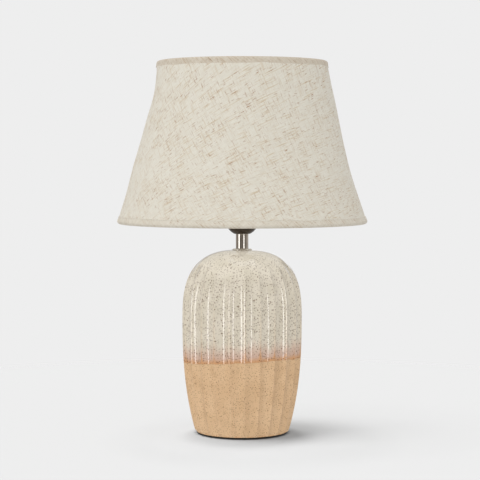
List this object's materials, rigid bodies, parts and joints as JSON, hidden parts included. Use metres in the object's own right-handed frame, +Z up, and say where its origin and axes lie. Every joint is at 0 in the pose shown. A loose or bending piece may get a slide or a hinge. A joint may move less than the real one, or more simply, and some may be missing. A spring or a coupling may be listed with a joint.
{
  "type": "table lamp",
  "caption": "Table lamp with a fluted, half glazed stoneware body, a short bright neck and a soft cloth shade stretched on a wire frame.",
  "frame": {"origin": "on the lamp's axis at the level of the table, under the felt pad", "axes": "+Z up along the lamp's axis, -Y towards the front, +Y towards the cable inlet"},
  "size_m": [0.25, 0.25, 0.3724],
  "materials": {
    "stoneware": "cream speckled glaze over bare tan clay",
    "felt": "matte",
    "zinc_steel": "zinc plated",
    "nickel": "bright nickel plate",
    "black_rubber": "matte",
    "black_plastic": "satin",
    "white_plastic": "satin",
    "brass": "bright",
    "solder": "dull",
    "black_glass": "gloss",
    "white_board": "white coated",
    "opal": "opal satin",
    "linen": "slubbed linen-look weave",
    "linen_tape": "bias tape of the same weave",
    "lining": "plain weave",
    "white_wire": "white powder coat"
  },
  "bodies": {
    "base": {"stoneware_body": "stoneware", "felt_pad": "felt", "base_plate": "zinc_steel", "lock_washer": "zinc_steel", "bottom_nut": "zinc_steel", "hollow_rod": "zinc_steel", "cable_grommet": "black_rubber", "neck_gasket": "black_rubber", "neck_washer": "nickel", "neck_tube": "nickel", "holder_cap": "black_plastic", "rod_lock_screw": "zinc_steel", "contact_carrier": "white_plastic", "terminal_screws": "brass", "centre_contact": "brass", "screw_shell": "brass", "holder_sleeve": "black_plastic"},
    "shade": {"shade_cover": "linen", "shade_lining": "lining", "bottom_tape": "linen_tape", "top_tape": "linen_tape", "bottom_ring": "white_wire", "top_ring": "white_wire", "fitter_ring": "white_wire", "frame_strut_1": "white_wire", "frame_strut_2": "white_wire", "frame_strut_3": "white_wire", "frame_strut_4": "white_wire", "frame_strut_5": "white_wire", "frame_strut_6": "white_wire", "fitter_arm_1": "white_wire", "fitter_arm_2": "white_wire", "fitter_arm_3": "white_wire"},
    "shade_ring": {"shade_ring": "black_plastic"},
    "bulb_tip": {"bulb_tip": "solder"},
    "bulb": {"bulb_insulator": "black_glass", "bulb_screw_cap": "nickel", "bulb_housing": "white_plastic", "bulb_board": "white_board", "bulb_globe": "opal"}
  },
  "joints": [
    {"name": "shade_turn", "type": "hinge", "parent": "base", "child": "shade", "pos_m": [0, 0, 0.2215], "axis": [0, 0, 1], "continuous": true},
    {"name": "shade_ring_turn", "type": "hinge", "parent": "base", "child": "shade_ring", "pos_m": [0, 0, 0.2265], "axis": [0, 0, 1], "range_deg": [0, 360]},
    {"name": "bulb_rise", "type": "slide", "parent": "base", "child": "bulb_tip", "axis": [0, 0, 1], "range_m": [0, 0.0113]},
    {"name": "bulb_turn", "type": "hinge", "parent": "bulb_tip", "child": "bulb", "pos_m": [0, 0, 0.24], "axis": [0, 0, 1], "range_deg": [0, 1440]}
  ],
  "couplings": [
    {"joint": "bulb_rise", "follows": "bulb_turn", "m_per_rad": 0.00044914}
  ]
}
